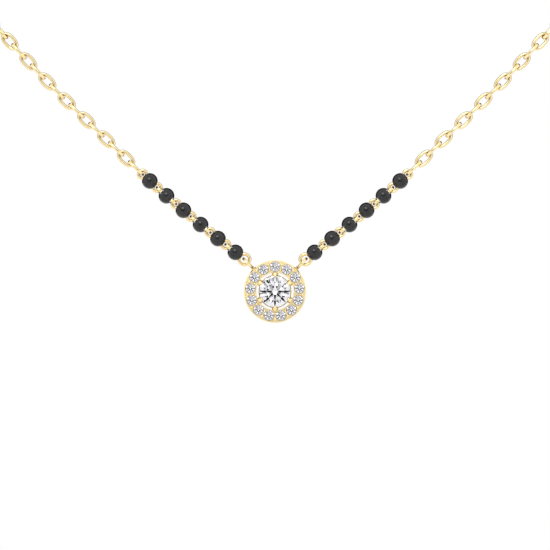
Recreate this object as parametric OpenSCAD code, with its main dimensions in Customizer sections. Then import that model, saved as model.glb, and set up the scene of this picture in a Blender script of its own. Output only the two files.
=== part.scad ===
/* [Centre stone] */
// Diameter of the round centre stone at its girdle
stone_d = 4.0; // [3.6:0.05:4.4]
// Height of the centre stone's crown above its girdle
stone_crown = 0.62; // [0.5:0.01:0.75]
// Depth of the centre stone's pavilion below its girdle
stone_pavilion = 1.72; // [1.5:0.01:1.9]
// Thickness of the centre stone's girdle band
stone_girdle = 0.1; // [0.05:0.01:0.16]
// Height of the centre stone's girdle above the face of the halo
stone_lift = 0.42; // [0.3:0.01:0.6]

/* [Halo stones] */
// Number of small stones in the halo
halo_count = 13; // [12:1:13]
// Diameter of each small stone
halo_stone_d = 1.22; // [1.1:0.01:1.3]
// Crown height of each small stone
halo_crown = 0.19; // [0.14:0.01:0.24]
// Pavilion depth of each small stone
halo_pavilion = 0.52; // [0.4:0.01:0.6]
// Girdle thickness of each small stone
halo_girdle = 0.05; // [0.03:0.01:0.08]
// Depth of the small stones' girdles below the face of the halo
halo_sink = 0.07; // [0.04:0.01:0.12]

/* [Halo setting] */
// Thickness of the halo ring, front to back
halo_t = 1.0; // [0.9:0.05:1.3]
// Open slot between the basket's rim and the inner edge of the halo
slot_w = 0.26; // [0.2:0.01:0.35]
// Gold left between the slot and the small stones
inner_margin = 0.15; // [0.1:0.01:0.25]
// Gold left outside the small stones
outer_margin = 0.21; // [0.15:0.01:0.35]
// Bevel round the outer front edge of the halo
halo_bevel = 0.1; // [0.05:0.01:0.15]
// Taper round the outer back edge of the halo
halo_taper = 0.25; // [0.1:0.01:0.35]
// Diameter of the outer row of grains that hold the small stones
outer_grain_d = 0.36; // [0.3:0.01:0.4]
// Diameter of the inner row of grains
inner_grain_d = 0.34; // [0.28:0.01:0.38]
// Distance of each row of grains from the circle of the small stones
grain_offset = 0.34; // [0.3:0.01:0.38]
// Diameter of the open hole behind each small stone
seat_hole_d = 0.55; // [0.4:0.01:0.65]
// Width of the basket's rim outside the centre stone
rim_w = 0.1; // [0.06:0.01:0.14]
// Wall of the basket
basket_wall = 0.3; // [0.25:0.01:0.4]
// Depth of the basket below the face of the halo
basket_h = 1.2; // [1.1:0.05:1.4]
// Outer radius of the basket's open foot
basket_foot = 1.5; // [1.3:0.05:1.7]
// Number of prongs round the centre stone
prong_count = 6; // [4:1:6]
// Diameter of a prong's post
prong_d = 0.58; // [0.5:0.01:0.6]
// Diameter of a prong's bent tip
prong_tip_d = 0.4; // [0.34:0.01:0.44]
// How far a prong's tip reaches in over the stone
prong_reach = 0.22; // [0.16:0.01:0.28]
// Width of each bar that carries the basket inside the halo
bridge_w = 0.8; // [0.7:0.01:0.85]
// Height of each bar, front to back
bridge_h = 0.7; // [0.5:0.01:0.75]
// Depth of the bars below the face of the halo
bridge_sink = 0.12; // [0.05:0.01:0.2]
// Clearance between a stone and the metal that holds it
stone_clear = 0.04; // [0.02:0.01:0.06]

/* [Side loops] */
// Angle of the two side loops above the horizontal
loop_angle = 46.3; // [42:0.1:50]
// Outer diameter of a side loop
side_loop_od = 1.88; // [1.8:0.01:1.92]
// Wire of a side loop
side_loop_wire = 0.36; // [0.3:0.01:0.4]
// Gap between the halo's edge and the side loop, crossed by its stub
side_loop_gap = 0.08; // [0.04:0.01:0.15]
// Diameter of the stub that joins a side loop to the halo
stub_d = 0.44; // [0.36:0.01:0.5]

/* [Beads] */
// Diameter of a bead
bead_d = 2.0; // [1.9:0.05:2.2]
// Space between one bead and the next
bead_gap = 0.81; // [0.78:0.01:0.9]
// Number of beads on each side
bead_count = 6; // [2:2:6]

/* [Bead pins] */
// Wire of a bead pin's loops
pin_wire = 0.4; // [0.36:0.01:0.42]
// How much thinner the pin's straight stem is than its loops
pin_thinning = 0.04; // [0.02:0.01:0.08]
// Outer diameter of a loop between two beads
pin_loop_od = 1.42; // [1.4:0.01:1.5]
// How far past the bead the centre of a flat loop lies
flat_loop_out = 0.24; // [0.2:0.01:0.3]
// Outer diameter of the large flat loop next to the pendant
end_loop_od = 1.78; // [1.7:0.01:1.9]
// Wire of the large flat loop
end_loop_wire = 0.42; // [0.36:0.01:0.44]
// How far past the bead the centre of the large flat loop lies
end_loop_out = 0.43; // [0.4:0.01:0.5]
// Clearance round the pins and loops inside a bead
bore_clear = 0.06; // [0.04:0.01:0.08]
// Clearance left where one loop hangs in another
hook_clear = 0.1; // [0.06:0.01:0.12]
// How far each large loop lies inside its side loop, short of pulled tight
side_slack = 0.32; // [0.25:0.01:0.36]

/* [Chain] */
// Wire of the chain links
link_wire = 0.42; // [0.36:0.01:0.44]
// Outer width of a chain link
link_w = 1.59; // [1.54:0.01:1.7]
// Nominal distance from one link to the next
link_pitch = 1.7325; // [1.7:0.0025:1.8]
// Clearance between a link and the next one
link_clear = 0.12; // [0.1:0.01:0.14]

/* [Clasp] */
// Diameter of the barrel clasp
barrel_d = 3.0; // [2.8:0.1:3.6]
// Length of the barrel
barrel_l = 7.0; // [6:0.1:9]
// Length of each rounded-down end of the barrel
barrel_taper = 0.8; // [0.5:0.05:1.2]
// Diameter of the barrel's flat ends
barrel_end_d = 1.6; // [1.4:0.1:2]
// Outer diameter of the ring at each end of the clasp
clasp_ring_od = 2.0; // [1.9:0.05:2.3]
// Wire of the clasp's rings
clasp_ring_wire = 0.42; // [0.36:0.01:0.5]

/* [Hidden] */
// Centre of the pendant, from the point where the clasp rests on the nape
pendant_at = [0, -100, -80];
// Chosen points of the right half of the necklace, as x, y and z from the
// nape: the first five lie in the upright plane of the pendant, and the rest
// go the plain way round the side of the neck to the clasp
route = [
    [9.4, -100, -71.55],
    [15.8, -100, -66.05],
    [21.3, -100, -60.8],
    [28.7, -100, -53.55],
    [34.5, -100, -47.3],
    [45, -93, -35],
    [53, -78, -25],
    [57, -59, -18],
    [55, -38, -12],
    [46, -19, -7],
    [30, -6, -3],
    [14, 0.4, -0.5],
];
// Samples taken along each stretch of the route
samples = 24;
// Half the step over which the route's direction is taken
dir_step = 0.4;
// Radius of a stone's table, star points and lower points, as shares of the
// radius of its girdle
table_share = 0.57;
star_share = 0.82;
lower_share = 0.22;
// How much wider a prong's bend and tip are than the bars they join
swell = 0.02;
// Facets of the fine round surfaces
fine = 64;
// Facets of the small round surfaces
small = 32;

halo_pitch_r = stone_d/2 + rim_w + slot_w + inner_margin + halo_stone_d/2;
halo_in_r = stone_d/2 + rim_w + slot_w;
halo_out_r = halo_pitch_r + halo_stone_d/2 + outer_margin;
rim_r = stone_d/2 + rim_w;
halo_step = 360 / halo_count;
prong_step = 360 / prong_count;
prong_post_r = rim_r + slot_w/4;

side_loop_r = (side_loop_od - side_loop_wire) / 2;
side_loop_at = halo_out_r + side_loop_gap + side_loop_od/2;

pin_loop_r = (pin_loop_od - pin_wire) / 2;
end_loop_r = (end_loop_od - end_loop_wire) / 2;
bead_pitch = bead_d + bead_gap;
flat_at = bead_d/2 + flat_loop_out;
edge_at = bead_pitch - flat_at - (2*pin_loop_r - pin_wire - hook_clear);
end_at = bead_d/2 + end_loop_out;
bead_bore = pin_wire - pin_thinning + 2*bore_clear;

// The large loop lies in the side loop, a little short of pulled tight
end_loop_from_centre = side_loop_at + side_loop_r - side_loop_wire/2
    - hook_clear + end_loop_r - end_loop_wire/2 - side_slack;
end_loop_centre = pendant_at
    + end_loop_from_centre * [cos(loop_angle), 0, sin(loop_angle)];

// The route starts at the large loop and ends on the clasp's own axis
clasp_axis = [0, barrel_d/2, 0];
path = concat([end_loop_centre], route, [clasp_axis]);
spans = [for (i = [0:len(path)-2]) norm(path[i+1] - path[i])];
slopes = [
    for (i = [0:len(path)-1])
        i == 0 ? (path[1] - path[0]) / spans[0]
        : i == len(path)-1 ? [-1, 0, 0]
        : ((path[i] - path[i-1]) / spans[i-1] * spans[i]
            + (path[i+1] - path[i]) / spans[i] * spans[i-1])
            / (spans[i-1] + spans[i])
];
// Point at share u of stretch i of the smooth route
function on_stretch(i, u) =
    (2*u*u*u - 3*u*u + 1) * path[i]
    + (u*u*u - 2*u*u + u) * spans[i] * slopes[i]
    + (3*u*u - 2*u*u*u) * path[i+1]
    + (u*u*u - u*u) * spans[i] * slopes[i+1];
curve = concat(
    [for (i = [0:len(spans)-1], j = [0:samples-1]) on_stretch(i, j/samples)],
    [clasp_axis]
);
reach = [
    for (i = 0, s = 0; i < len(curve);
         i = i + 1, s = i < len(curve) ? s + norm(curve[i] - curve[i-1]) : s)
        s
];
half_length = reach[len(reach)-1];
// Point of the route at length s from the large loop
function route_at(s) = [
    for (axis = [0:2]) lookup(s, [for (i = [0:len(curve)-1]) [reach[i], curve[i][axis]]])
];
function unit(v) = v / norm(v);
// Frame at length s: x along the route, z straight out from the neck
function route_frame(s) =
    let (
        p = route_at(s),
        x = unit(route_at(s + dir_step) - route_at(s - dir_step)),
        z = unit(cross(x, [0, 0, 1])),
        y = cross(z, x)
    )
    [
        [x[0], y[0], z[0], p[0]],
        [x[1], y[1], z[1], p[1]],
        [x[2], y[2], z[2], p[2]],
        [0, 0, 0, 1]
    ];

function bead_s(j) = end_at + (j - 1) * bead_pitch;

link_l = link_pitch + 2*link_wire + link_clear;
link_half_l = (link_l - link_wire) / 2;
link_half_w = (link_w - link_wire) / 2;

clasp_ring_r = (clasp_ring_od - clasp_ring_wire) / 2;
clasp_ring_at = barrel_l/2 + clasp_ring_r - clasp_ring_wire/2;
first_link_s = bead_s(bead_count) + flat_at + pin_loop_r - pin_wire/2
    - hook_clear - link_wire + link_l/2;
last_link_s = half_length - clasp_ring_at - clasp_ring_r + clasp_ring_wire/2
    + link_clear + link_wire - link_l/2;
link_count = 2 * round((last_link_s - first_link_s) / link_pitch / 2) + 1;
link_step = (last_link_s - first_link_s) / (link_count - 1);
front_links = ceil(link_count / 2);

// Height of a brilliant's star points, so that its main facets are flat
function star_z(crown, girdle) =
    girdle/2 + crown * (1 - star_share*cos(22.5)) / (1 - table_share);
// Depth of the points where its lower girdle facets meet
function lower_z(pavilion, girdle) =
    -girdle/2 - pavilion * (1 - lower_share*cos(22.5));

// Round brilliant with its girdle at z = 0: an eight-sided table, star, main
// and girdle facets above, and main and lower girdle facets below
module brilliant(d, crown, pavilion, girdle) {
    r = d / 2;
    table_r = table_share * r;
    star_r = star_share * r;
    lower_r = lower_share * r;
    top = girdle/2 + crown;
    high = star_z(crown, girdle);
    low = lower_z(pavilion, girdle);
    pts = concat(
        [for (i = [0:7]) [table_r*cos(45*i), table_r*sin(45*i), top]],
        [for (i = [0:7]) [star_r*cos(45*i+22.5), star_r*sin(45*i+22.5), high]],
        [for (i = [0:15]) [r*cos(22.5*i), r*sin(22.5*i), girdle/2]],
        [for (i = [0:15]) [r*cos(22.5*i), r*sin(22.5*i), -girdle/2]],
        [for (i = [0:7]) [lower_r*cos(45*i+22.5), lower_r*sin(45*i+22.5), low]],
        [[0, 0, -girdle/2 - pavilion]]
    );
    star = 8;
    upper = 16;
    lower = 32;
    half = 48;
    culet = 56;
    faces = concat(
        [[for (i = [7:-1:0]) i]],
        [for (i = [0:7]) [i, (i+1) % 8, star + i]],
        [for (i = [0:7]) [i, star + i, upper + 2*i, star + (i+7) % 8]],
        [for (i = [0:7]) [star + i, upper + 2*i + 1, upper + 2*i]],
        [for (i = [0:7]) [star + i, upper + (2*i+2) % 16, upper + 2*i + 1]],
        [for (i = [0:15]) [upper + i, upper + (i+1) % 16, lower + (i+1) % 16, lower + i]],
        [for (i = [0:7]) [half + i, lower + 2*i, lower + 2*i + 1]],
        [for (i = [0:7]) [half + i, lower + 2*i + 1, lower + (2*i+2) % 16]],
        [for (i = [0:7]) [culet, half + (i+7) % 8, lower + 2*i, half + i]]
    );
    polyhedron(points = pts, faces = faces);
}

// Room for a stone: its outline turned round, larger by the clearance
module stone_room(d, crown, pavilion, girdle) {
    r = d / 2;
    rotate_extrude($fn = fine)
        polygon([
            [0, -girdle/2 - pavilion - stone_clear],
            [lower_share*r + stone_clear, lower_z(pavilion, girdle) - stone_clear],
            [r + stone_clear, -girdle/2 - stone_clear],
            [r + stone_clear, girdle/2 + stone_clear],
            [star_share*r + stone_clear, star_z(crown, girdle) + stone_clear],
            [table_share*r + stone_clear, girdle/2 + crown + stone_clear],
            [table_share*r + stone_clear, girdle/2 + crown + d],
            [0, girdle/2 + crown + d]
        ]);
}

// Puts a part in the pendant's own frame: x right, y up, z to the front, and
// z = 0 at the halo's front face, with the side loops at half its thickness
module in_pendant() {
    translate(pendant_at)
        rotate([90, 0, 0])
            translate([0, 0, halo_t/2])
                children();
}

// Place of small stone i, with every stone's facets turned the same way
module halo_place(i) {
    turn = 90 - halo_step * (i - 1);
    translate([halo_pitch_r * cos(turn), halo_pitch_r * sin(turn), -halo_sink])
        children();
}

module halo_ring() {
    rotate_extrude($fn = 2*fine)
        polygon([
            [halo_in_r, -halo_t],
            [halo_out_r - halo_taper, -halo_t],
            [halo_out_r, -halo_t + halo_taper],
            [halo_out_r, -halo_bevel],
            [halo_out_r - halo_bevel, 0],
            [halo_in_r, 0]
        ]);
}

module basket() {
    rotate_extrude($fn = 2*fine)
        polygon([
            [rim_r - basket_wall, stone_lift - stone_girdle],
            [rim_r, stone_lift - stone_girdle],
            [rim_r, -halo_bevel],
            [basket_foot, -basket_h],
            [basket_foot - basket_wall, -basket_h],
            [rim_r - basket_wall, -halo_bevel]
        ]);
}

module prong() {
    tip_z = stone_lift + stone_girdle/2 + stone_crown/3 + prong_tip_d/4;
    bend_z = stone_lift + stone_girdle;
    lean = atan2(prong_reach, tip_z - bend_z);
    tip_l = norm([prong_reach, tip_z - bend_z]);
    translate([prong_post_r, 0, 0]) {
        translate([0, 0, -halo_t])
            cylinder(d = prong_d, h = halo_t + bend_z, $fn = small);
        translate([0, 0, bend_z]) {
            sphere(d = prong_d + swell, $fn = small);
            rotate([0, -lean, 0]) {
                cylinder(d1 = prong_d - swell, d2 = prong_tip_d - swell, h = tip_l, $fn = small);
                translate([0, 0, tip_l])
                    sphere(d = prong_tip_d, $fn = small);
            }
        }
    }
}

// Bar under the face that carries the basket inside the halo
module bridge() {
    translate([rim_r - basket_wall/2, -bridge_w/2, -bridge_sink - bridge_h])
        cube([basket_wall/2 + slot_w + inner_margin, bridge_w, bridge_h]);
}

module grain(r, d) {
    rotate([0, 0, 90 - halo_step/2])
        translate([r, 0, 0])
            sphere(d = d, $fn = small);
}

module side_loop() {
    translate([0, 0, -halo_t/2]) {
        translate([side_loop_at, 0, 0])
            rotate([90, 0, 0])
                rotate_extrude($fn = fine)
                    translate([side_loop_r, 0])
                        circle(d = side_loop_wire, $fn = small);
        translate([halo_out_r - outer_margin, 0, 0])
            rotate([0, 90, 0])
                cylinder(d = stub_d, h = outer_margin + side_loop_gap + side_loop_wire/2, $fn = small);
    }
}

module halo_setting() {
    color("gold")
        in_pendant()
            difference() {
                union() {
                    halo_ring();
                    basket();
                    for (i = [0:prong_count-1])
                        rotate([0, 0, 90 + prong_step * i]) {
                            prong();
                            bridge();
                        }
                    for (i = [0:halo_count-1])
                        rotate([0, 0, halo_step * i]) {
                            grain(halo_pitch_r + grain_offset, outer_grain_d);
                            grain(halo_pitch_r - grain_offset, inner_grain_d);
                        }
                    for (a = [loop_angle, 180 - loop_angle])
                        rotate([0, 0, a])
                            side_loop();
                }
                translate([0, 0, stone_lift])
                    stone_room(stone_d, stone_crown, stone_pavilion, stone_girdle);
                for (i = [1:halo_count])
                    halo_place(i) {
                        stone_room(halo_stone_d, halo_crown, halo_pavilion, halo_girdle);
                        translate([0, 0, -halo_t])
                            cylinder(d = seat_hole_d, h = halo_t, $fn = small);
                    }
            }
}

module centre_stone() {
    color("white")
        in_pendant()
            translate([0, 0, stone_lift])
                brilliant(stone_d, stone_crown, stone_pavilion, stone_girdle);
}

module halo_stone(i) {
    color("white")
        in_pendant()
            halo_place(i)
                brilliant(halo_stone_d, halo_crown, halo_pavilion, halo_girdle);
}

// Puts a part of the string at length s: modelled for the right side, and
// mirrored for the left
module on_string(side, s) {
    mirror([side == "left" ? 1 : 0, 0, 0])
        multmatrix(route_frame(s))
            children();
}

// A bead's flat loops lie in the string's own sheet, and its edge loops are
// turned a quarter round it: beads take turns, so that each loop hooks its
// neighbour's
function flat_bead(j) = j % 2 == 0;
function inner_is_end(j) = j == 1;

// Room in a bead for a loop: a disc round the loop's own outline
module loop_room(x, od, wire, flat) {
    translate([x, 0, 0])
        rotate([flat ? 0 : 90, 0, 0])
            cylinder(d = od + 2*bore_clear, h = wire + 2*bore_clear, center = true, $fn = fine);
}

// Ball with its bore along x, turned as one so that both are true round
module bored_ball() {
    rotate([0, 90, 0])
        rotate([0, 0, 45])
            rotate_extrude($fn = 2*fine)
                difference() {
                    circle(d = bead_d, $fn = 2*fine);
                    translate([-bead_d, -bead_d])
                        square([bead_d + bead_bore/2, 2*bead_d]);
                }
}

module bead(side, j) {
    own_at = flat_bead(j) ? flat_at : edge_at;
    other_at = bead_pitch - (flat_bead(j) ? edge_at : flat_at);
    color([0.16, 0.16, 0.17])
        on_string(side, bead_s(j))
            difference() {
                bored_ball();
                loop_room(own_at, pin_loop_od, pin_wire, flat_bead(j));
                loop_room(other_at, pin_loop_od, pin_wire, !flat_bead(j));
                if (inner_is_end(j))
                    loop_room(-end_at, end_loop_od, end_loop_wire, true);
                else {
                    loop_room(-own_at, pin_loop_od, pin_wire, flat_bead(j));
                    loop_room(-other_at, pin_loop_od, pin_wire, !flat_bead(j));
                }
            }
}

module wire_loop(x, r, wire, flat) {
    translate([x, 0, 0])
        rotate([flat ? 0 : 90, 0, 0])
            rotate_extrude($fn = fine)
                translate([r, 0])
                    circle(d = wire, $fn = small);
}

module pin(side, j) {
    outer_at = flat_bead(j) ? flat_at : edge_at;
    inner_at = inner_is_end(j) ? end_at : outer_at;
    inner_r = inner_is_end(j) ? end_loop_r : pin_loop_r;
    inner_wire = inner_is_end(j) ? end_loop_wire : pin_wire;
    color("gold")
        on_string(side, bead_s(j)) {
            wire_loop(outer_at, pin_loop_r, pin_wire, flat_bead(j));
            wire_loop(-inner_at, inner_r, inner_wire, flat_bead(j) || inner_is_end(j));
            translate([-(inner_at - inner_r), 0, 0])
                rotate([0, 90, 0])
                    cylinder(d = pin_wire - pin_thinning,
                        h = inner_at - inner_r + outer_at - pin_loop_r, $fn = small);
        }
}

// Half of a link: one round end and one straight side
module link_half() {
    translate([link_half_l - link_half_w, 0, 0])
        rotate_extrude(angle = 180, start = -90, $fn = fine)
            translate([link_half_w, 0])
                circle(d = link_wire, $fn = small);
    translate([0, link_half_w, 0])
        rotate([0, 90, 0])
            cylinder(d = link_wire, h = 2*(link_half_l - link_half_w), center = true, $fn = small);
}

module link() {
    for (turn = [0, 180])
        rotate([0, 0, turn])
            link_half();
}

// Links take turns lying flat and on edge, the first one on edge
module chain(side, first, last) {
    color("gold")
        for (k = [first:last])
            on_string(side, first_link_s + k*link_step)
                rotate([k % 2 == 0 ? 90 : 0, 0, 0])
                    link();
}

// Plain barrel with a fixed ring at each end, lying across the nape
module clasp() {
    color("gold")
        translate(clasp_axis) {
            rotate([0, 90, 0])
                rotate_extrude($fn = fine)
                    polygon([
                        [0, -barrel_l/2],
                        [barrel_end_d/2, -barrel_l/2],
                        [barrel_d/2, -barrel_l/2 + barrel_taper],
                        [barrel_d/2, barrel_l/2 - barrel_taper],
                        [barrel_end_d/2, barrel_l/2],
                        [0, barrel_l/2]
                    ]);
            for (s = [-1, 1])
                translate([s * clasp_ring_at, 0, 0])
                    rotate([90, 0, 0])
                        rotate_extrude($fn = fine)
                            translate([clasp_ring_r, 0])
                                circle(d = clasp_ring_wire, $fn = small);
        }
}

halo_setting();
centre_stone();
for (i = [1:halo_count])
    halo_stone(i);
for (side = ["left", "right"], j = [1:bead_count])
    bead(side, j);
for (side = ["left", "right"], j = [1:bead_count])
    pin(side, j);
for (side = ["left", "right"]) {
    chain(side, 0, front_links - 1);
    chain(side, front_links, link_count - 1);
}
clasp();
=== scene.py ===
"""A halo pendant mangalsutra on its cable chain, with its finishes, studio light and camera."""
import math

import bmesh
import bpy
import numpy as np
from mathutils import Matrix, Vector


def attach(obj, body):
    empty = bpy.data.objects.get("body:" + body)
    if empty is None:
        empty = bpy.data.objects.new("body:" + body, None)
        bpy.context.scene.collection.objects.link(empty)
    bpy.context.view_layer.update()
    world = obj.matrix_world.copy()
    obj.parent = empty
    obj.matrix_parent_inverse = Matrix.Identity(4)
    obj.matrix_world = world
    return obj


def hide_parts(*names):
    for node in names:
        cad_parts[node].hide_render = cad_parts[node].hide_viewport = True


MM = 0.001
PENDANT = Vector((0, -0.100, -0.080))  # the centre of the pendant

# Colours and finishes

PALE_GOLD = (0.97, 0.81, 0.47)
WARM_GOLD = (0.92, 0.745, 0.38)
CREVICE_SHADE_GOLD = (0.52, 0.30, 0.06)      # painted shade: darker gold in crevices and between parts
CREVICE_SHADE_WIDTH = 0.3 * MM
CREVICE_SHADE_RANGE = (0.35, 0.80)           # openness where the painted shade is full, and where the metal is left unshaded
MARK_STRENGTH = 0.06
MARK_DEPTH = 0.01 * MM                 # of polishing marks and wear
DEEP_BLACK = (0.007, 0.007, 0.008)
CLOUDED_BLACK = (0.018, 0.018, 0.020)
ONYX_IOR = 1.47
STONE_IOR = 2.2
STONE_SHINE = (0.02, 0.02, 0.02, 1.0)  # a low surface shine keeps the dark facets dark
STONE_HAZE = 0.006
BOARD_WHITES = (0.92, 0.92, 0.92), (0.95, 0.95, 0.95)
BOARD_ROUGHNESS = 0.9

# Fineness of each pattern, in features a metre

GOLD_TONE = 900
GOLD_MARKS = 9000
ONYX_CLOUDS = 1400
ONYX_WEAR = 12000
STONE_FEATHERS = 2500
BOARD_TOOTH = 600

# Sizes of the chain's links

LINK_WIRE = 0.42 * MM
LINK_ROUNDNESS = 2.25                  # the oval's power: 2 is an ellipse
LINK_STEPS = 48                        # round the link
WIRE_STEPS = 14                        # round its wire
WELD_DISTANCE = 0.005 * MM

# Surroundings: a panel's edges are parts of a unit direction from the pendant

PANELS = [                             # left, right, bottom, top and darkness
    (-0.53, 0.28, -0.14, -0.02, 1.0),
    (-0.14, 0.14, -0.28, -0.12, 1.0),
    (-0.53, -0.07, -0.04, 0.05, 1.0),
    (0.07, 0.28, -0.04, 0.05, 1.0),
    (-0.62, -0.035, 0.10, 0.34, 0.6),
    (0.035, 0.62, 0.10, 0.34, 0.6),
]
PANEL_EDGE = 0.012                     # half the width of a panel's soft edge
PANEL_BLACK = (0.012, 0.012, 0.013)
AROUND_WHITE = (1.18, 1.18, 1.18)
BEHIND_DARK = (0.03, 0.03, 0.03)
BEHIND_RANGE = (0.15, 0.50)            # how far back the dark starts and is full
PLAIN_WHITE = (1.0, 1.0, 1.0, 1.0)

# Light, board and camera

KEY_AZIMUTH = -12                      # degrees to the right of the front
KEY_ELEVATION = 35
KEY_DISTANCE = 0.6
KEY_SIZE = 0.24
KEY_WATTS = 0.68
BOARD_Z = -0.14
BOARD_HALF = 0.3
BOARD_FORWARD = 0.05
CAMERA_DISTANCE = 0.60
SENSOR_WIDTH = 36
PHOTO_FIELD = 69.3 * MM                # the width of what the photo shows
PHOTO_RISE = 2.08 * MM                 # the photo's centre above the pendant's


# Node helpers

def add_node(tree, kind, **settings):
    """A new shader node with its attributes set."""
    made = tree.nodes.new(kind)
    for name, value in settings.items():
        setattr(made, name, value)
    return made


def set_inputs(made, values):
    """Sets a node's inputs by name: a value is stored, a socket is linked."""
    for name, value in values.items():
        socket = made.inputs[name]
        if isinstance(value, bpy.types.NodeSocket):
            made.id_data.links.new(value, socket)
        else:
            socket.default_value = value
    return made


def new_material(name):
    """A material, its node tree and its Principled shader."""
    material = bpy.data.materials.new(name)
    material.use_nodes = True
    tree = material.node_tree
    shader = tree.nodes["Principled BSDF"]
    return material, tree, shader


def object_noise(tree, scale, detail, roughness=0.5, stretch=(1, 1, 1)):
    """Noise fixed to the object, with its features about 1/scale metres wide."""
    where = add_node(tree, "ShaderNodeTexCoord")
    mapping = set_inputs(
        add_node(tree, "ShaderNodeMapping"),
        {"Vector": where.outputs["Object"], "Scale": stretch},
    )
    noise = set_inputs(
        add_node(tree, "ShaderNodeTexNoise"),
        {"Vector": mapping.outputs[0], "Scale": scale, "Detail": detail, "Roughness": roughness},
    )
    return noise.outputs["Fac"]


def ramp(tree, factor, stops):
    """A colour ramp through (position, colour) stops."""
    made = set_inputs(add_node(tree, "ShaderNodeValToRGB"), {"Fac": factor})
    elements = made.color_ramp.elements
    while len(elements) < len(stops):
        elements.new(0.5)
    for element, (position, colour) in zip(elements, stops):
        element.position = position
        element.color = (*colour, 1.0)
    return made.outputs["Color"]


def to_range(tree, value, low, high, from_low=0.0, from_high=1.0, smooth=False):
    """Maps a value from one range to another."""
    kind = "SMOOTHSTEP" if smooth else "LINEAR"
    made = set_inputs(
        add_node(tree, "ShaderNodeMapRange", interpolation_type=kind),
        {"Value": value, "From Min": from_low, "From Max": from_high, "To Min": low, "To Max": high},
    )
    return made.outputs[0]


def math_node(tree, operation, first, second):
    """The result of a Math node for two values or sockets."""
    made = add_node(tree, "ShaderNodeMath", operation=operation)
    return set_inputs(made, {0: first, 1: second}).outputs[0]


def mix_colour(tree, factor, first, second):
    """Mixes two colours, each a tuple or a socket."""
    made = add_node(tree, "ShaderNodeMix", data_type="RGBA")
    ends = [(*c, 1.0) if isinstance(c, tuple) else c for c in (first, second)]
    return set_inputs(made, {0: factor, 6: ends[0], 7: ends[1]}).outputs[2]


def fine_marks(tree, height):
    """The normal of a surface with shallow marks."""
    made = set_inputs(
        add_node(tree, "ShaderNodeBump"),
        {"Height": height, "Strength": MARK_STRENGTH, "Distance": MARK_DEPTH},
    )
    return made.outputs["Normal"]


# Materials

def gold(name, smoothest, roughest, polish=(1, 1, 1), metal=1.0):
    """Yellow gold with a soft change of tone, painted shade in its crevices and fine polishing
    marks.

    Less metal gives the softer shine of a satin finish.
    """
    material, tree, shader = new_material(name)
    tone = object_noise(tree, GOLD_TONE, detail=3)
    marks = object_noise(tree, GOLD_MARKS, detail=4, roughness=0.6, stretch=polish)
    # Painted shade: the gold is darkened towards a deep brown in crevices and between parts, by how
    # enclosed each point is
    shade = set_inputs(
        add_node(tree, "ShaderNodeAmbientOcclusion", samples=8),
        {"Distance": CREVICE_SHADE_WIDTH},
    )
    out_of_shade = to_range(tree, shade.outputs["AO"], 0.0, 1.0, *CREVICE_SHADE_RANGE)
    unshaded_gold = ramp(tree, tone, [(0.3, WARM_GOLD), (0.7, PALE_GOLD)])
    set_inputs(shader, {
        "Base Color": mix_colour(tree, out_of_shade, CREVICE_SHADE_GOLD, unshaded_gold),
        "Metallic": metal,
        "Roughness": to_range(tree, marks, smoothest, roughest, 0.3, 0.7),
        "Normal": fine_marks(tree, marks),
    })
    return material


def onyx():
    """Polished black onyx: near black, faintly clouded, with fine wear."""
    material, tree, shader = new_material("black_onyx")
    clouds = object_noise(tree, ONYX_CLOUDS, detail=4)
    wear = object_noise(tree, ONYX_WEAR, detail=3)
    set_inputs(shader, {
        "Base Color": ramp(tree, clouds, [(0.35, DEEP_BLACK), (0.75, CLOUDED_BLACK)]),
        "Roughness": to_range(tree, wear, 0.06, 0.16, 0.3, 0.7),
        "IOR": ONYX_IOR,
        "Normal": fine_marks(tree, wear),
    })
    return material


def clear_stone(name, clear, cloudy):
    """Clear cut stone that refracts, with faintly clouded and hazy spots."""
    material, tree, shader = new_material(name)
    feathers = object_noise(tree, STONE_FEATHERS, detail=5, roughness=0.7)
    set_inputs(shader, {
        "Base Color": ramp(tree, feathers, [(0.35, clear), (0.75, cloudy)]),
        "Roughness": to_range(tree, feathers, 0.0, STONE_HAZE, 0.5, 0.8),
        "Transmission Weight": 1.0,
        "IOR": STONE_IOR,
        "Specular Tint": STONE_SHINE,
    })
    return material


def white_board():
    """Matt white studio board with a faint tooth."""
    material, tree, shader = new_material("studio_board")
    tooth = object_noise(tree, BOARD_TOOTH, detail=3)
    set_inputs(shader, {
        "Base Color": ramp(tree, tooth, list(zip((0.3, 0.7), BOARD_WHITES))),
        "Roughness": BOARD_ROUGHNESS,
    })
    return material


def dress(names, material):
    """Gives every material slot of these CAD nodes one finish."""
    for name in names:
        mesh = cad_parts[name].data
        if not mesh.materials:
            mesh.materials.append(material)
        for slot in range(len(mesh.materials)):
            mesh.materials[slot] = material


# Chain links

def link_places(node):
    """The centre, the long and the wide axis, and the two outer sizes of each link."""
    welded = bmesh.new()
    welded.from_mesh(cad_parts[node].data)
    bmesh.ops.remove_doubles(welded, verts=welded.verts, dist=WELD_DISTANCE)
    welded.verts.index_update()
    points = np.array([vert.co for vert in welded.verts])
    edges = np.array([[vert.index for vert in edge.verts] for edge in welded.edges])
    welded.free()
    # Points that edges join take one number, so each link ends with its own
    group = np.arange(len(points))
    while True:
        lowest = group[edges].min(axis=1)
        joined = group.copy()
        np.minimum.at(joined, edges[:, 0], lowest)
        np.minimum.at(joined, edges[:, 1], lowest)
        joined = joined[joined]
        if np.array_equal(joined, group):
            break
        group = joined
    places = []
    for first in np.unique(group):
        link = points[group == first]
        centre = (link.max(axis=0) + link.min(axis=0)) / 2
        axes = np.linalg.svd(link - centre, full_matrices=False)[2]
        reach = (link - centre) @ axes.T
        size = reach.max(axis=0) - reach.min(axis=0)
        order = np.argsort(-size)
        centre = centre + ((reach.max(axis=0) + reach.min(axis=0)) / 2) @ axes
        places.append((centre, axes[order[0]], axes[order[1]], size[order[0]], size[order[1]]))
    return places


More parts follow.
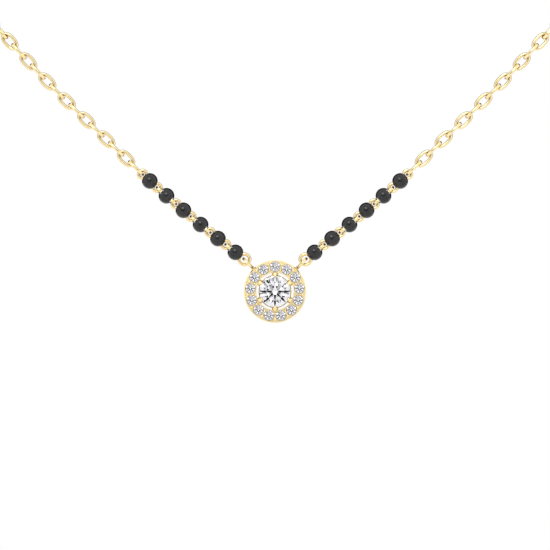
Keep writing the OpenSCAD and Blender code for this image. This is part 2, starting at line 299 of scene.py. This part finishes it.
def link_points(centre, along, across, length, width):
    """The points of one oval link of round wire, a ring of them at each step."""
    half = np.array([length - LINK_WIRE, width - LINK_WIRE]) / 2
    turn = 2 * math.pi * np.arange(LINK_STEPS) / LINK_STEPS
    unit = np.stack([np.cos(turn), np.sin(turn)], axis=1)
    middle = half * np.sign(unit) * np.abs(unit) ** (2 / LINK_ROUNDNESS)
    outward = np.sign(unit) * np.abs(unit) ** (2 - 2 / LINK_ROUNDNESS) / half
    outward /= np.linalg.norm(outward, axis=1, keepdims=True)
    plane = np.stack([along, across])
    round_wire = 2 * math.pi * np.arange(WIRE_STEPS) / WIRE_STEPS
    ring = (np.cos(round_wire)[None, :, None] * (outward @ plane)[:, None, :]
            + np.sin(round_wire)[None, :, None] * np.cross(along, across))
    return (centre + (middle @ plane)[:, None, :] + LINK_WIRE / 2 * ring).reshape(-1, 3)


def oval_chain(node, material):
    """The links of a chain node with the slightly oval form that bent wire has."""
    points, faces = [], []
    for place in link_places(node):
        start = len(points)
        points.extend(link_points(*place).tolist())
        for step in range(LINK_STEPS):
            here = start + step * WIRE_STEPS
            after = start + (step + 1) % LINK_STEPS * WIRE_STEPS
            for side in range(WIRE_STEPS):
                other = (side + 1) % WIRE_STEPS
                faces.append((here + side, after + side, after + other, here + other))
    mesh = bpy.data.meshes.new(f"oval_{node}")
    mesh.from_pydata(points, [], faces)
    mesh.materials.append(material)
    mesh.shade_smooth()
    shape = bmesh.new()
    shape.from_mesh(mesh)
    bmesh.ops.recalc_face_normals(shape, faces=shape.faces)
    shape.to_mesh(mesh)
    shape.free()
    piece = bpy.data.objects.new(f"oval_{node}", mesh)
    bpy.context.scene.collection.objects.link(piece)
    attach(piece, "root")
    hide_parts(node)


# Light and camera

def band(tree, value, low, high):
    """1 where the value lies between low and high, with soft edges, and 0 elsewhere."""
    rise = to_range(tree, value, 0.0, 1.0, low - PANEL_EDGE, low + PANEL_EDGE, smooth=True)
    fall = to_range(tree, value, 1.0, 0.0, high - PANEL_EDGE, high + PANEL_EDGE, smooth=True)
    return math_node(tree, "MULTIPLY", rise, fall)


def dark_panel(tree, xyz, left, right, bottom, top, darkness):
    """How dark a soft-edged panel in front of the pendant makes a direction."""
    across = band(tree, xyz["X"], left, right)
    upright = band(tree, xyz["Z"], bottom, top)
    in_front = to_range(tree, xyz["Y"], darkness, 0.0, -0.01, 0.0)
    return math_node(tree, "MULTIPLY", math_node(tree, "MULTIPLY", across, upright), in_front)


def studio_world():
    """Pale surroundings with dark panels, and dark behind the necklace.

    The black panels stand in front, below the camera, and two grey ones stand
    above it. They are what cut stones and polished metal show as dark lines.
    The camera sees plain white, and matt surfaces are lit by it.
    """
    world = bpy.data.worlds.new("studio")
    bpy.context.scene.world = world
    world.use_nodes = True
    tree = world.node_tree
    tree.nodes.clear()
    where = add_node(tree, "ShaderNodeTexCoord").outputs["Generated"]
    xyz = set_inputs(add_node(tree, "ShaderNodeSeparateXYZ"), {"Vector": where}).outputs
    panels = dark_panel(tree, xyz, *PANELS[0])
    for place in PANELS[1:]:
        panels = math_node(tree, "MAXIMUM", panels, dark_panel(tree, xyz, *place))
    behind = to_range(tree, xyz["Y"], 0.0, 1.0, *BEHIND_RANGE, smooth=True)
    around = mix_colour(tree, behind, AROUND_WHITE, BEHIND_DARK)
    around = mix_colour(tree, panels, around, PANEL_BLACK)
    seen = set_inputs(add_node(tree, "ShaderNodeBackground"), {"Color": PLAIN_WHITE})
    lit = set_inputs(add_node(tree, "ShaderNodeBackground"), {"Color": around})
    rays = add_node(tree, "ShaderNodeLightPath").outputs
    plainly = math_node(tree, "MAXIMUM", rays["Is Camera Ray"], rays["Is Diffuse Ray"])
    both = set_inputs(
        add_node(tree, "ShaderNodeMixShader"),
        {0: plainly, 1: lit.outputs[0], 2: seen.outputs[0]},
    )
    set_inputs(add_node(tree, "ShaderNodeOutputWorld"), {"Surface": both.outputs[0]})


def from_pendant(azimuth, elevation, distance):
    """A place seen from the pendant: azimuth 0 is the front, and 90 the right."""
    a, e = math.radians(azimuth), math.radians(elevation)
    level = math.cos(e)
    return PENDANT + distance * Vector((math.sin(a) * level, -math.cos(a) * level, math.sin(e)))


def soft_box(name, place, size, watts):
    """Square area light that faces the pendant."""
    data = bpy.data.lights.new(name, "AREA")
    data.size = size
    data.energy = watts
    light = bpy.data.objects.new(name, data)
    light.location = place
    light.rotation_euler = (PENDANT - place).to_track_quat("-Z", "Y").to_euler()
    bpy.context.scene.collection.objects.link(light)


def floor():
    """A square board below the necklace."""
    mesh = bpy.data.meshes.new("floor")
    near, far = -BOARD_HALF - BOARD_FORWARD, BOARD_HALF - BOARD_FORWARD
    corners = [(-BOARD_HALF, near, BOARD_Z), (BOARD_HALF, near, BOARD_Z),
               (BOARD_HALF, far, BOARD_Z), (-BOARD_HALF, far, BOARD_Z)]
    mesh.from_pydata(corners, [], [(0, 1, 2, 3)])
    mesh.materials.append(white_board())
    board = bpy.data.objects.new("floor", mesh)
    bpy.context.scene.collection.objects.link(board)


def photo_camera():
    """Level camera in front of the pendant, as far off as makes it look flat."""
    data = bpy.data.cameras.new("photo_camera")
    data.sensor_width = SENSOR_WIDTH
    data.lens = SENSOR_WIDTH * CAMERA_DISTANCE / PHOTO_FIELD
    data.clip_start, data.clip_end = 0.01, 20
    camera = bpy.data.objects.new("photo_camera", data)
    camera.location = PENDANT + Vector((0, -CAMERA_DISTANCE, PHOTO_RISE))
    camera.rotation_euler = (math.radians(90), 0, 0)
    bpy.context.scene.collection.objects.link(camera)
    bpy.context.scene.camera = camera


# Scene

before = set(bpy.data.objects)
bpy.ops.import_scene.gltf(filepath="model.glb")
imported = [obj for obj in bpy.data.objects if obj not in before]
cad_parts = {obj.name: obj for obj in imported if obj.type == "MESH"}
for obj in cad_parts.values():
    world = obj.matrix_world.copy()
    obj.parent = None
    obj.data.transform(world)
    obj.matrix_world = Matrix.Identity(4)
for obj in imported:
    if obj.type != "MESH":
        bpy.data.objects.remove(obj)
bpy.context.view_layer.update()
names = list(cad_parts)

dress(["halo_setting"], gold("gold_setting", 0.05, 0.16))
dress([n for n in names if n.startswith("pin_")], gold("gold_wire", 0.05, 0.14))
chain_gold = gold("gold_chain", 0.05, 0.14)
for chain_node in [n for n in names if n.startswith("chain_")]:
    oval_chain(chain_node, chain_gold)
# The clasp is satin gold, brushed along its length
dress(["clasp"], gold("gold_clasp", 0.28, 0.42, polish=(0.04, 1, 1), metal=0.55))
dress([n for n in names if n.startswith("bead_")], onyx())
dress(
    [n for n in names if n.startswith("halo_stone_")],
    clear_stone("small_stones", (0.76, 0.76, 0.785), (0.56, 0.56, 0.60)),
)
dress(["centre_stone"], clear_stone("centre_stone", (0.86, 0.86, 0.875), (0.68, 0.68, 0.71)))

floor()
studio_world()
soft_box("key_box", from_pendant(KEY_AZIMUTH, KEY_ELEVATION, KEY_DISTANCE), KEY_SIZE, KEY_WATTS)
photo_camera()
bpy.context.scene.view_settings.view_transform = "Standard"
